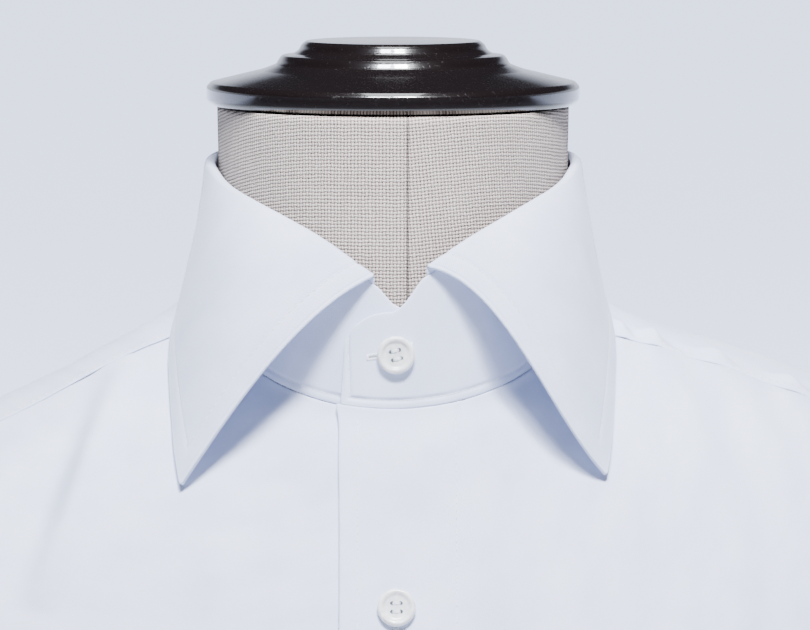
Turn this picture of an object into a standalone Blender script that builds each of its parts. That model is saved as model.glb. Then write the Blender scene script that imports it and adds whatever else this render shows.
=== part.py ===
"""A detachable shirt collar with its yoke and bib, worn on a linen-covered dress form.

Metres, +Z up, the front faces -Y. The origin is the middle of the form's flat underside.
Angles round the neck, psi, start at the middle of the front and grow towards +X, the wearer's left.
Rings round the body, t, are 0 at the neckline, 1 at the shoulder tips and 2 at the underside.
"""
import bmesh
import bpy
import numpy as np
from mathutils import Vector


def table(columns, *rows):
    """A short table as one array for each named column; values are looked up by its first column."""
    return dict(zip(columns.split(), np.array(rows, float).T))


# Height of the side neckline over the underside, and the cloth's walls and gaps.
NECK_POINT = 0.330
SEAM_GAP = 0.0003
STAND_GAP = 0.0004
PANEL_CLOTH = 0.0011
STAND_CLOTH = 0.0015
LEAF_CLOTH = 0.0013

# The overlap at the front, and how far round the wearer's left side keeps its extra lift.
CENTRE_X = 0.001
OVERLAP = 0.016
OVER_EDGE_X = CENTRE_X - OVERLAP
UNDER_EDGE_X = CENTRE_X + OVERLAP
LAYER = STAND_CLOTH + 2.5 * SEAM_GAP
LAYER_FLAT_X = 0.021
LAYER_GONE_X = 0.046

# Height of a panel's outer face over the form.
NECKLINE_LIFT = 0.0050
PANEL_LIFT = 0.0028
LIFT_EASED_BY = 0.30
# The wearer's left shoulder stands a little fuller than the right: its height, and where it rises and fades.
FULL_SHOULDER = 0.0034
FULL_FROM_X, FULL_BY_X, FULL_UNTIL_X, FULL_GONE_X = 0.060, 0.118, 0.135, 0.172
FULL_DEPTH_Y = 0.048

# Rings of the dress form, with heights above NECK_POINT. `fall` sets how late a ring leaves its side height.
LOW_SHOULDER, LOW_FROM_TO = 0.0070, (0.056, 0.125)
FORM_RINGS = table(
    "t half_width front back z_front z_side z_back fall",
    (-0.50, 0.0530, 0.0585, 0.0575, 0.0594, 0.0594, 0.0594, 1.10),
    (-0.25, 0.0528, 0.0590, 0.0568, 0.0240, 0.0320, 0.0340, 1.10),
    (0.00, 0.0545, 0.0618, 0.0560, -0.0256, 0.0030, 0.0078, 1.12),
    (0.12, 0.0635, 0.0700, 0.0640, -0.0380, -0.0043, -0.0045, 1.60),
    (0.30, 0.0800, 0.0805, 0.0730, -0.0580, -0.0113, -0.0240, 2.20),
    (0.60, 0.1190, 0.0985, 0.0870, -0.0980, -0.0260, -0.0650, 2.50),
    (0.85, 0.1650, 0.1100, 0.0950, -0.1350, -0.0430, -0.1050, 2.50),
    (1.00, 0.1845, 0.1140, 0.0980, -0.1600, -0.0550, -0.1300, 2.40),
    (1.12, 0.1910, 0.1160, 0.0990, -0.1800, -0.0780, -0.1500, 2.20),
    (1.50, 0.1800, 0.1170, 0.0985, -0.2400, -0.1850, -0.2250, 2.00),
    (2.00, 0.1600, 0.1100, 0.0930, -0.3300, -0.3300, -0.3300, 2.00))

# Where the front yoke seam, the armhole edge and the hem lie: psi of the outer edge of each front at t.
FRONT_EDGE = table(
    "t psi_degrees",
    (0.00, 70.0), (0.30, 74.0), (0.60, 75.0), (0.88, 75.5), (0.97, 67.5), (1.10, 60.5), (1.30, 57.0),
    (1.56, 57.0))
SHOULDER_ROWS = np.array([0, 0.045, 0.095, 0.15, 0.21, 0.29, 0.40, 0.52, 0.65, 0.77, 0.88])
LOWER_ROWS = np.array([0.92, 0.96, 1.00, 1.05, 1.10, 1.18, 1.30, 1.43, 1.56])
FRONT_HEM_T = LOWER_ROWS[-1]

# The outer edge of the yoke: shoulder end, armhole and back yoke seam, as t at psi.
YOKE_EDGE = table(
    "psi_degrees t",
    (74.0, 0.88), (90.0, 0.87), (108.0, 0.91), (125.0, 1.00), (137.0, 0.83), (150.0, 0.70), (165.0, 0.62),
    (180.0, 0.595))
BACK_CORNER_PSI = 125.0
BACK_HEM_PSI = 130.0
BACK_HEM_T = 1.50
FRONT_COLUMNS = 15
BACK_COLUMNS = 21
SHOULDER_COLUMNS = 9
BACK_SEAM_T = 0.0036

# Soft folds along a line of the front view: x_top, z_top, x_low, z_low, height, half_width.
RIGHT_FRONT_FOLDS = ((-0.076, -0.012, -0.112, -0.095, 0.0022, 0.0060),
                     (-0.098, -0.022, -0.132, -0.090, 0.0018, 0.0060),
                     (-0.047, -0.030, -0.050, -0.200, 0.0020, 0.0070),
                     (-0.030, -0.045, -0.031, -0.170, 0.0014, 0.0055),
                     (-0.105, -0.110, -0.085, -0.230, 0.0022, 0.0090))
LEFT_FRONT_FOLDS = ((0.078, -0.010, 0.104, -0.085, 0.0016, 0.0060),
                    (0.096, -0.016, 0.120, -0.070, 0.0018, 0.0060),
                    (0.116, -0.024, 0.136, -0.100, 0.0016, 0.0070),
                    (0.050, -0.050, 0.056, -0.210, 0.0018, 0.0080),
                    (0.105, -0.115, 0.088, -0.230, 0.0020, 0.0090))
BACK_FOLDS = ((-0.060, -0.085, -0.070, -0.215, 0.0022, 0.0090),
              (-0.020, -0.082, -0.022, -0.200, 0.0018, 0.0075),
              (0.030, -0.082, 0.036, -0.205, 0.0018, 0.0080),
              (0.075, -0.085, 0.090, -0.220, 0.0024, 0.0090))

# The crest of the fold, where the leaf turns over the stand: its plan, its height and its roll.
CREST = dict(half_width=0.0553, front=0.0632, back=0.0612)
CREST_HEIGHT = table(
    "psi_degrees z",
    (0, 0.0120), (6, 0.0154), (10, 0.0180), (14, 0.0206), (19, 0.0237), (24, 0.0264), (30, 0.0290),
    (37, 0.0316), (46, 0.0343), (58, 0.0372), (67, 0.0395), (75, 0.0418), (90, 0.0434), (135, 0.0443),
    (180, 0.0448))
ROLL_RADIUS = 0.0017
ROLL_TURNS = (180, 125, 75, 25)
LIP = 0.0016

STAND_BELOW_CREST = ROLL_RADIUS + LIP + SEAM_GAP
STAND_INSET = ROLL_RADIUS - STAND_CLOTH
STAND_TIP_Z = 0.0040
STAND_TIP_RUN = 0.0110
STAND_CORNER = 0.0135

# The leaf's lower edge, laid on the cloth at psi and t and lifted by off: its point first, then to the back.
LEAF_EDGE = table(
    "along psi_degrees t off",
    (0.000, 40.3, 0.411, 0.0026), (0.027, 42.1, 0.394, 0.0025), (0.077, 46.1, 0.355, 0.0024),
    (0.135, 51.0, 0.310, 0.0023), (0.198, 57.5, 0.261, 0.0022), (0.265, 65.0, 0.213, 0.0022),
    (0.326, 72.0, 0.170, 0.0021), (0.360, 76.6, 0.139, 0.0020), (0.430, 87.0, 0.076, 0.0019),
    (0.530, 104.0, 0.052, 0.0019), (0.750, 145.0, 0.045, 0.0022), (1.000, 180.0, 0.043, 0.0024))
LEAF_BULGE, LEAF_HOLLOW = 0.0005, 0.0013
LEAF_FRONT_FADE = 0.30
LEAF_START_X = dict(left=0.0098, right=-0.0057)
# Control points of each leaf's front edge, between its start on the fold and its point.
LEAF_FRONT_EDGE = dict(left=((0.0316, -0.0722, 0.0147), (0.0454, -0.0785, -0.0236)),
                       right=((-0.0269, -0.0750, 0.0066), (-0.0457, -0.0760, -0.0211)))

CAP_PROFILE = ((0.0, 0.0787), (0.0262, 0.0787), (0.0276, 0.0776), (0.0284, 0.0760), (0.0300, 0.0749),
               (0.0335, 0.0744), (0.0344, 0.0733), (0.0352, 0.0718), (0.0382, 0.0706), (0.0400, 0.0700),
               (0.0550, 0.0664), (0.0563, 0.0650), (0.0563, 0.0612), (0.0550, 0.0598), (0.0, 0.0598))
CAP_SEGMENTS = 36

BUTTON_PROFILE = ((0.0, 0.0016), (0.0034, 0.0016), (0.0042, 0.0023), (0.0049, 0.0023), (0.0055, 0.0014),
                  (0.0050, 0.0003), (0.0, 0.0003))
BUTTON_SEGMENTS = 14
STAND_BUTTON_Z = -0.0075
FRONT_BUTTON_Z = (-0.075, -0.145, -0.215)


def smooth(at, rows, column):
    """Read a table's column at `at`, on a cubic through its rows with slopes from their neighbours."""
    xs, ys = next(iter(rows.values())), rows[column]
    at = np.asarray(at, float)
    slope = np.gradient(ys, xs)
    row = np.clip(np.searchsorted(xs, at, side="right") - 1, 0, len(xs) - 2)
    width = xs[row + 1] - xs[row]
    f = (at - xs[row]) / width
    rise = (3 * f ** 2 - 2 * f ** 3) * ys[row + 1] + (2 * f ** 3 - 3 * f ** 2 + 1) * ys[row]
    return rise + width * ((f ** 3 - 2 * f ** 2 + f) * slope[row] + (f ** 3 - f ** 2) * slope[row + 1])


def ease(at, start, end):
    """A smooth step from 0 at start to 1 at end."""
    f = np.clip((at - start) / (end - start), 0, 1)
    return f * f * (3 - 2 * f)


def form(psi, t):
    """Points of the form: an ellipse at each t whose height falls from the side to the front and back."""
    psi, t = np.broadcast_arrays(psi, t)
    half_width, front, back, z_front, z_side, z_back, fall = (
        smooth(t, FORM_RINGS, name) for name in FORM_RINGS if name != "t")
    ahead = np.maximum(np.cos(psi), 0)
    behind = np.maximum(-np.cos(psi), 0)
    z = z_side + (z_front - z_side) * ahead ** fall + (z_back - z_side) * behind ** fall
    z = z - LOW_SHOULDER * ease(-half_width * np.sin(psi), *LOW_FROM_TO) * (1 - ease(t, 1.15, 1.7))
    return np.stack([half_width * np.sin(psi), back * behind - front * ahead, NECK_POINT + z], -1)


def over(psi, t, lift):
    """Points of the form moved out along its normal by lift."""
    step = 0.004
    across = form(psi + step, t) - form(psi - step, t)
    down = form(psi, t + step) - form(psi, t - step)
    normal = np.cross(down, across)
    normal /= np.linalg.norm(normal, axis=-1, keepdims=True)
    return form(psi, t) + normal * np.asarray(lift)[..., None]


def layer(x):
    """Extra lift of the wearer's left side where it laps over the right one."""
    return LAYER * (1 - ease(x, LAYER_FLAT_X, LAYER_GONE_X))


def panel_lift(psi, t):
    """Height of a panel's outer face over the form: most at the neckline and on the fuller shoulder."""
    x, y = np.moveaxis(form(psi, t), -1, 0)[:2]
    full = ease(x, FULL_FROM_X, FULL_BY_X) * (1 - ease(x, FULL_UNTIL_X, FULL_GONE_X))
    neck = (NECKLINE_LIFT - PANEL_LIFT) * (1 - ease(t, 0, LIFT_EASED_BY))
    return PANEL_LIFT + neck + FULL_SHOULDER * full * np.exp(-(y / FULL_DEPTH_Y) ** 2)


def fold_lift(points, folds):
    """Soft ridges along lines of the front view, which rise and fade over their length."""
    lift = np.zeros(points.shape[:-1])
    for x_top, z_top, x_low, z_low, height, half_width in folds:
        run = np.array([x_low - x_top, z_low - z_top])
        flat = points[..., [0, 2]] - (x_top, NECK_POINT + z_top)
        along = np.clip(flat @ run / (run @ run), 0, 1)
        aside = (flat[..., 0] * run[1] - flat[..., 1] * run[0]) / np.linalg.norm(run)
        lift += height * np.exp(-(aside / half_width) ** 2) * np.sin(np.pi * along) ** 0.8
    return lift


def material(name, colour, roughness, metallic=0.0):
    """A Principled material with one colour."""
    made = bpy.data.materials.new(name)
    made.use_nodes = True
    shader = made.node_tree.nodes["Principled BSDF"]
    shader.inputs["Base Color"].default_value = (*colour, 1)
    shader.inputs["Roughness"].default_value = roughness
    shader.inputs["Metallic"].default_value = metallic
    return made


def place(name, mesh, finish):
    """Link a mesh as an object under a node's name."""
    mesh.materials.append(finish)
    mesh.shade_smooth()
    made = bpy.data.objects.new(name, mesh)
    bpy.context.scene.collection.objects.link(made)
    return made


def grid_faces(rows, columns, closed=False):
    """Quads of a grid whose rows run down and whose columns run towards growing psi."""
    last = columns if closed else columns - 1
    i, j = np.meshgrid(np.arange(rows - 1), np.arange(last), indexing="ij")
    right = (j + 1) % columns
    above, below = i * columns, (i + 1) * columns
    return np.stack([above + j, below + j, below + right, above + right], -1).reshape(-1, 4).tolist()


def cloth(name, points, thickness, finish):
    """A wall of cloth: a grid of its outer face, thickened inwards."""
    rows, columns = points.shape[:2]
    mesh = bpy.data.meshes.new(name)
    mesh.from_pydata(points.reshape(-1, 3).tolist(), [], grid_faces(rows, columns))
    made = place(name, mesh, finish)
    wall = made.modifiers.new("wall", "SOLIDIFY")
    wall.thickness = thickness
    wall.offset = -1
    wall.use_even_offset = True
    return made


def turned(name, profile, segments, finish):
    """A solid turned round Z from a profile of (radius, height) that starts and ends on the axis."""
    bm = bmesh.new()
    corners = [bm.verts.new((radius, 0, height)) for radius, height in profile]
    edges = [bm.edges.new(pair) for pair in zip(corners, corners[1:])]
    bmesh.ops.spin(bm, geom=corners + edges, cent=(0, 0, 0), axis=(0, 0, 1), angle=2 * np.pi,
                   steps=segments, use_merge=True)
    bmesh.ops.remove_doubles(bm, verts=bm.verts, dist=1e-6)
    bmesh.ops.recalc_face_normals(bm, faces=bm.faces)
    mesh = bpy.data.meshes.new(name)
    bm.to_mesh(mesh)
    bm.free()
    made = place(name, mesh, finish)
    mesh.set_sharp_from_angle(angle=np.radians(35))
    return made


def crest_height(psi):
    """Height of the fold's crest, alike on both sides."""
    psi_degrees = np.degrees(np.arccos(np.cos(psi)))
    return NECK_POINT + smooth(psi_degrees, CREST_HEIGHT, "z")


def crest_ring(psi, inset, laps):
    """Plan of the fold's crest, moved inwards by inset, with the lap's extra where laps is true."""
    c, s = np.cos(psi), np.sin(psi)
    x = CREST["half_width"] * s
    y = np.where(c > 0, -CREST["front"] * c, -CREST["back"] * c)
    out = np.stack([s, -c], -1)
    extra = np.where(laps, layer(x), 0) - inset
    return np.stack([x, y], -1) + out * extra[..., None], out


def make_form(linen):
    """The neck, shoulders and chest of the form, closed by a flat top and underside."""
    columns = 48
    psi = np.linspace(0, 2 * np.pi, columns, endpoint=False)
    t = np.concatenate([[-0.50, -0.30, -0.12], np.linspace(0, 0.30, 6), np.linspace(0.40, 1.20, 9),
                        [1.35, 1.65, 2.0]])
    points = form(psi[None, :], t[:, None])
    faces = grid_faces(len(t), columns, closed=True)
    faces.append(list(range(columns)))
    faces.append([(len(t) - 1) * columns + j for j in reversed(range(columns))])
    mesh = bpy.data.meshes.new("form_body")
    mesh.from_pydata(points.reshape(-1, 3).tolist(), [], faces)
    place("form_body", mesh, linen)


def front_psi(t):
    """The outer edge of a front at t."""
    return np.radians(smooth(t, FRONT_EDGE, "psi_degrees"))


def seam_turn(t):
    """Half a slanting seam's gap as an angle round the ring at t."""
    return SEAM_GAP / smooth(t, FORM_RINGS, "half_width")


def front_face(psi, t, side, folds):
    """Outer face of a front at psi and t; the wearer's left, side 1, laps over the right, side -1."""
    under = form(psi, t)
    lift = panel_lift(psi, t) + fold_lift(under, folds)
    return over(psi, t, lift + layer(under[..., 0]) if side > 0 else lift)


def make_front(name, side, folds, shirting):
    """One front, from its edge at the middle to the yoke seam, armhole and side edge."""
    t = np.concatenate([SHOULDER_ROWS, LOWER_ROWS])[:, None]
    across = np.linspace(0, 1, FRONT_COLUMNS)
    half_width = smooth(t, FORM_RINGS, "half_width")
    inner = np.arcsin((OVER_EDGE_X if side > 0 else UNDER_EDGE_X) / half_width)
    outer = side * (front_psi(t) - seam_turn(t))
    first, last = (inner, outer) if side > 0 else (outer, inner)
    psi = first + (last - first) * across
    cloth(name, front_face(psi, t, side, folds), PANEL_CLOTH, shirting)


def make_yoke(shirting):
    """The yoke, from one front seam over the shoulders and round the back of the neck to the other."""
    t = SHOULDER_ROWS[:, None]
    down = t / SHOULDER_ROWS[-1]
    start = front_psi(t) + seam_turn(t)
    shoulder = start + (np.radians(BACK_CORNER_PSI) - start) * np.linspace(0, 1, SHOULDER_COLUMNS)
    behind = np.broadcast_to(back_psi(BACK_CORNER_PSI), (len(down), BACK_COLUMNS))
    psi = np.concatenate([shoulder, behind[:, 1:-1], 2 * np.pi - shoulder[:, ::-1]], 1)
    edge_psi = np.degrees(np.arccos(np.cos(psi[-1:])))
    t = down * smooth(edge_psi, YOKE_EDGE, "t")
    cloth("yoke", over(psi, t, panel_lift(psi, t)), PANEL_CLOTH, shirting)


def back_psi(edge_degrees):
    """Columns of the back, from its edge at edge_degrees round to the same edge on the other side."""
    return np.pi + np.radians(180 - edge_degrees) * np.linspace(-1, 1, BACK_COLUMNS)


def make_back(shirting):
    """The back, from the yoke's seam to its hem."""
    down = np.linspace(0, 1, 9)[:, None]
    psi = back_psi(BACK_CORNER_PSI + (BACK_HEM_PSI - BACK_CORNER_PSI) * down)
    t_seam = smooth(np.degrees(np.arccos(np.cos(psi[:1]))), YOKE_EDGE, "t") + BACK_SEAM_T
    t = t_seam + (BACK_HEM_T - t_seam) * down
    lift = panel_lift(psi, t) + fold_lift(form(psi, t), BACK_FOLDS)
    cloth("back", over(psi, t, lift), PANEL_CLOTH, shirting)


def stand_face(psi, down):
    """Outer face of the stand at psi, from its top, down 0, to its seam, down 1."""
    laps = psi < np.pi / 2
    half_width = smooth(0, FORM_RINGS, "half_width") + NECKLINE_LIFT
    x = half_width * np.sin(psi)
    plan, _ = crest_ring(psi, STAND_INSET, laps)
    under_leaf = crest_height(psi) - STAND_BELOW_CREST
    past_leaf = np.where(laps, LEAF_START_X["left"] - x, x - LEAF_START_X["right"])
    tip = under_leaf + (NECK_POINT + STAND_TIP_Z - under_leaf) * ease(past_leaf, 0, STAND_TIP_RUN)
    from_end = np.where(laps, x - OVER_EDGE_X, UNDER_EDGE_X - x)
    corner = np.clip(STAND_CORNER - from_end, 0, STAND_CORNER)
    tip = tip - STAND_CORNER + np.sqrt(STAND_CORNER ** 2 - corner ** 2)
    top_z = np.where((np.cos(psi) > 0) & (past_leaf > 0), tip, under_leaf)
    top = np.concatenate([plan, top_z[..., None]], -1)
    lift = NECKLINE_LIFT + np.where(laps, layer(x), 0)
    seam = over(psi, 0.0, lift)
    upwards = seam - over(psi, 0.01, lift)
    base = seam + upwards / np.linalg.norm(upwards, axis=-1, keepdims=True) * STAND_GAP
    return top + (base - top) * np.asarray(down)[..., None]


def make_stand(shirting):
    """The collar stand, a strip round the neck that laps over itself at the front."""
    half_width = smooth(0, FORM_RINGS, "half_width") + NECKLINE_LIFT
    first, last = np.arcsin(np.array([OVER_EDGE_X, UNDER_EDGE_X]) / half_width) + (0, 2 * np.pi)
    psi, _ = leaf_columns()
    psi = np.concatenate([np.linspace(first, psi[0], 8)[:-1], psi, np.linspace(psi[-1], last, 8)[1:]])
    cloth("collar_stand", stand_face(psi[None, :], np.linspace(0, 1, 5)[:, None]), STAND_CLOTH, shirting)


def leaf_columns():
    """Columns of the leaf as psi, and as their share of the way from its left end round to its right."""
    first = np.arcsin(LEAF_START_X["left"] / CREST["half_width"])
    last = 2 * np.pi + np.arcsin(LEAF_START_X["right"] / CREST["half_width"])
    share = np.concatenate([np.linspace(0, 0.20, 11), np.linspace(0.24, 0.76, 20), np.linspace(0.80, 1, 11)])
    return first + (last - first) * share, share


def make_leaf(shirting):
    """The collar leaf: a lip on the stand, a roll over the fold, and a fall to the edge."""
    psi, share = leaf_columns()
    plan, out = crest_ring(psi, 0, psi < np.pi / 2)
    crest_z = crest_height(psi)
    rows = []
    inner = plan - out * ROLL_RADIUS
    rows.append(np.concatenate([inner, (crest_z - ROLL_RADIUS - LIP)[:, None]], -1))
    for turn in np.radians(ROLL_TURNS):
        flat = plan + out * ROLL_RADIUS * np.cos(turn)
        rows.append(np.concatenate([flat, (crest_z + ROLL_RADIUS * (np.sin(turn) - 1))[:, None]], -1))
    top = rows[-1]
    along = 1 - np.abs(2 * share - 1)
    side = np.where(share < 0.5, 1, -1)
    edge_psi = side * np.radians(smooth(along, LEAF_EDGE, "psi_degrees"))
    edge_t = smooth(along, LEAF_EDGE, "t")
    edge = over(edge_psi, edge_t, panel_lift(edge_psi, edge_t) + smooth(along, LEAF_EDGE, "off"))
    fall = np.linspace(0, 1, 9)[1:, None, None]
    points = top + (edge - top) * fall
    outwards = np.concatenate([out, np.zeros_like(out[:, :1])], -1)
    hollow = LEAF_HOLLOW * ease(along, 0.10, 0.34) * (1 - ease(along, 0.55, 0.95))
    bow = LEAF_BULGE * ease(along, 0, 0.25) - hollow
    points = points + outwards * bow[:, None] * 4 * fall * (1 - fall)
    for name, end, near in (("left", 0, share), ("right", -1, 1 - share)):
        one, two = (np.array(p) + (0, 0, NECK_POINT) for p in LEAF_FRONT_EDGE[name])
        curve = ((1 - fall) ** 3 * top[end] + 3 * fall * (1 - fall) ** 2 * one
                 + 3 * fall ** 2 * (1 - fall) * two + fall ** 3 * edge[end])
        straight = top[end] + (edge[end] - top[end]) * fall
        points = points + (curve - straight) * (1 - ease(near, 0, LEAF_FRONT_FADE))[:, None]
    cloth("collar_leaf", np.concatenate([np.array(rows), points]), LEAF_CLOTH, shirting)


def make_button(name, face, psi, down, pearl):
    """A button on a face at psi and down, turned to look along its normal."""
    step = 0.01
    across = face(psi + step, down) - face(psi - step, down)
    downwards = face(psi, down + step) - face(psi, down - step)
    button = turned(name, BUTTON_PROFILE, BUTTON_SEGMENTS, pearl)
    button.location = face(psi, down)
    button.rotation_euler = Vector(np.cross(downwards, across)).to_track_quat("Z", "Y").to_euler()


def make_buttons(pearl):
    """One button on the stand, and three down the overlapping front."""
    def on_stand(psi, down):
        return stand_face(np.float64(psi), down)

    def on_front(psi, t):
        return front_face(np.float64(psi), t, 1, ())

    down = np.linspace(0, 1, 200)
    psi = CENTRE_X / CREST["front"]
    height = stand_face(np.full_like(down, psi), down)[:, 2] - NECK_POINT
    make_button("button_stand", on_stand, psi, np.interp(-STAND_BUTTON_Z, -height, down), pearl)
    t = np.linspace(0, FRONT_HEM_T, 400)
    psi = np.arcsin(CENTRE_X / smooth(t, FORM_RINGS, "half_width"))
    height = front_face(psi, t, 1, ())[:, 2] - NECK_POINT
    for number, z in enumerate(FRONT_BUTTON_Z, 1):
        at = np.interp(-z, -height, t)
        make_button(f"button_front_{number}", on_front, np.interp(at, t, psi), at, pearl)


def main():
    for old in list(bpy.data.objects):
        bpy.data.objects.remove(old)
    shirting = material("white_cotton_shirting", (0.80, 0.82, 0.86), 0.85)
    linen = material("natural_linen", (0.58, 0.53, 0.49), 0.90)
    lacquer = material("black_lacquered_wood", (0.010, 0.010, 0.012), 0.18)
    pearl = material("white_shell", (0.82, 0.81, 0.78), 0.25)
    make_form(linen)
    cap = turned("form_cap", CAP_PROFILE, CAP_SEGMENTS, lacquer)
    cap.location = (0, 0, NECK_POINT)
    make_front("front_left", 1, LEFT_FRONT_FOLDS, shirting)
    make_front("front_right", -1, RIGHT_FRONT_FOLDS, shirting)
    make_yoke(shirting)
    make_back(shirting)
    make_stand(shirting)
    make_leaf(shirting)
    make_buttons(pearl)


main()
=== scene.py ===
"""A detachable shirt collar with its yoke and bib, worn on a linen-covered dress form.

Metres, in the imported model's frame: +Z up, and the front faces -Y. Angles round the neck, psi, start at the
middle of the front and grow towards +X, the wearer's left. Rings round the body, t, are 0 at the neckline,
1 at the shoulder tips and 2 at the underside.
"""

import bpy
import bmesh
import numpy as np
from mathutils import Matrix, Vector


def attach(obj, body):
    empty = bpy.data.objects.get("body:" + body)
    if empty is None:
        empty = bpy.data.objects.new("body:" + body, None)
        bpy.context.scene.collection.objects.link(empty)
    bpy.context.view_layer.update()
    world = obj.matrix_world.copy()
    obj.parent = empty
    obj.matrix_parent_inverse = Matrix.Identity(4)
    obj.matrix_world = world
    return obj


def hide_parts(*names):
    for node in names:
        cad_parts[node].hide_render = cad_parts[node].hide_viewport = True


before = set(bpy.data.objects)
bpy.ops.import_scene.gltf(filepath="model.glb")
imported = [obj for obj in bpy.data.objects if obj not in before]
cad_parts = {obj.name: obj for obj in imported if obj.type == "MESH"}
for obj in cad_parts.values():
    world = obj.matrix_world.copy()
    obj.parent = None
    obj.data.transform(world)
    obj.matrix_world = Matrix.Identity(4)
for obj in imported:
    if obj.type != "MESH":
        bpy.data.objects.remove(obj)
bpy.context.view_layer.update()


# The dress form: a firm moulded neck, shoulders and chest, covered in natural plain-woven linen. The linen is
# cut in two halves, sewn together beside the middle of the front and at the middle of the back, and drawn tight.
NECK_POINT = 0.330
LINEN_SEAMS = np.radians((4.6, 180.0))
SEAM_DEPTH, SEAM_HALF_WIDTH, ALLOWANCE, ALLOWANCE_HEIGHT = 0.00070, 0.00032, 0.0065, 0.00018
BIAS = np.radians(5.0)
GRAIN_DROP = 0.0095


def table(columns, *rows):
    """A short table as one array for each named column; values are looked up by its first column."""
    return dict(zip(columns.split(), np.array(rows, float).T))


# The wearer's right shoulder is held a little lower.
LOW_SHOULDER, LOW_FROM_TO = 0.0070, (0.056, 0.125)
# Rings of the form, with heights above NECK_POINT. `fall` sets how late a ring leaves its side height.
FORM_RINGS = table(
    "t half_width front back z_front z_side z_back fall",
    (-0.50, 0.0530, 0.0585, 0.0575, 0.0594, 0.0594, 0.0594, 1.10),
    (-0.25, 0.0528, 0.0590, 0.0568, 0.0240, 0.0320, 0.0340, 1.10),
    (0.00, 0.0545, 0.0618, 0.0560, -0.0256, 0.0030, 0.0078, 1.12),
    (0.12, 0.0635, 0.0700, 0.0640, -0.0380, -0.0043, -0.0045, 1.60),
    (0.30, 0.0800, 0.0805, 0.0730, -0.0580, -0.0113, -0.0240, 2.20),
    (0.60, 0.1190, 0.0985, 0.0870, -0.0980, -0.0260, -0.0650, 2.50),
    (0.85, 0.1650, 0.1100, 0.0950, -0.1350, -0.0430, -0.1050, 2.50),
    (1.00, 0.1845, 0.1140, 0.0980, -0.1600, -0.0550, -0.1300, 2.40),
    (1.12, 0.1910, 0.1160, 0.0990, -0.1800, -0.0780, -0.1500, 2.20),
    (1.50, 0.1800, 0.1170, 0.0985, -0.2400, -0.1850, -0.2250, 2.00),
    (2.00, 0.1600, 0.1100, 0.0930, -0.3300, -0.3300, -0.3300, 2.00))


def smooth(at, rows, column):
    """Read a table's column at `at`, on a cubic through its rows with slopes from their neighbours."""
    xs, ys = next(iter(rows.values())), rows[column]
    at = np.asarray(at, float)
    slope = np.gradient(ys, xs)
    row = np.clip(np.searchsorted(xs, at, side="right") - 1, 0, len(xs) - 2)
    width = xs[row + 1] - xs[row]
    f = (at - xs[row]) / width
    rise = (3 * f ** 2 - 2 * f ** 3) * ys[row + 1] + (2 * f ** 3 - 3 * f ** 2 + 1) * ys[row]
    return rise + width * ((f ** 3 - 2 * f ** 2 + f) * slope[row] + (f ** 3 - f ** 2) * slope[row + 1])


def ease(at, start, end):
    """A smooth step from 0 at start to 1 at end."""
    f = np.clip((at - start) / (end - start), 0, 1)
    return f * f * (3 - 2 * f)


def unit(vectors):
    """Vectors of length one."""
    return vectors / np.maximum(np.linalg.norm(vectors, axis=-1, keepdims=True), 1e-12)


def form(psi, t):
    """Points of the form: an ellipse at each t whose height falls from the side to the front and back."""
    psi, t = np.broadcast_arrays(psi, t)
    half_width, front, back, z_front, z_side, z_back, fall = (
        smooth(t, FORM_RINGS, name) for name in FORM_RINGS if name != "t")
    ahead = np.maximum(np.cos(psi), 0)
    behind = np.maximum(-np.cos(psi), 0)
    z = z_side + (z_front - z_side) * ahead ** fall + (z_back - z_side) * behind ** fall
    z = z - LOW_SHOULDER * ease(-half_width * np.sin(psi), *LOW_FROM_TO) * (1 - ease(t, 1.15, 1.7))
    return np.stack([half_width * np.sin(psi), back * behind - front * ahead, NECK_POINT + z], -1)


def over(psi, t, lift):
    """Points of the form moved out along its normal by lift."""
    step = 0.004
    across = form(psi + step, t) - form(psi - step, t)
    down = form(psi, t + step) - form(psi, t - step)
    return form(psi, t) + unit(np.cross(down, across)) * np.asarray(lift)[..., None]


def run(points, axis):
    """Length along the rows (axis 1) or columns (axis 0) of a grid of points, from its first one."""
    step = np.linalg.norm(np.diff(points, axis=axis), axis=-1)
    return np.concatenate([np.zeros_like(np.take(step, [0], axis)), np.cumsum(step, axis)], axis)


def quads(number):
    """Faces of a grid of point numbers whose rows run down and whose columns run towards growing psi."""
    return np.stack([number[:-1, :-1], number[1:, :-1], number[1:, 1:], number[:-1, 1:]], -1).reshape(-1, 4)


def piece(name, points, faces, flat, finish):
    """An object at the origin from points, faces and, for each face corner, its place on the flat cloth."""
    mesh = bpy.data.meshes.new(name)
    mesh.from_pydata(points.reshape(-1, 3).tolist(), [], faces.tolist())
    mesh.uv_layers.new(name="flat").data.foreach_set("uv", flat.astype(np.float32).ravel())
    mesh.materials.append(finish)
    mesh.shade_smooth()
    made = bpy.data.objects.new(name, mesh)
    bpy.context.scene.collection.objects.link(made)
    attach(made, "root")
    return made


def merge(made):
    """Join the doubled points of a piece where its grid closes on itself or ends in a pole."""
    bm = bmesh.new()
    bm.from_mesh(made.data)
    bmesh.ops.remove_doubles(bm, verts=bm.verts, dist=2e-6)
    bmesh.ops.dissolve_degenerate(bm, edges=bm.edges, dist=1e-7)
    bm.to_mesh(made.data)
    bm.free()
    made.data.shade_smooth()


def colour(hexes):
    """A linear colour with alpha from an sRGB hex value."""
    parts = np.array([int(hexes[k:k + 2], 16) for k in (0, 2, 4)]) / 255
    linear = np.where(parts <= 0.04045, parts / 12.92, ((parts + 0.055) / 1.055) ** 2.4)
    return (*linear.tolist(), 1.0)


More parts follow.
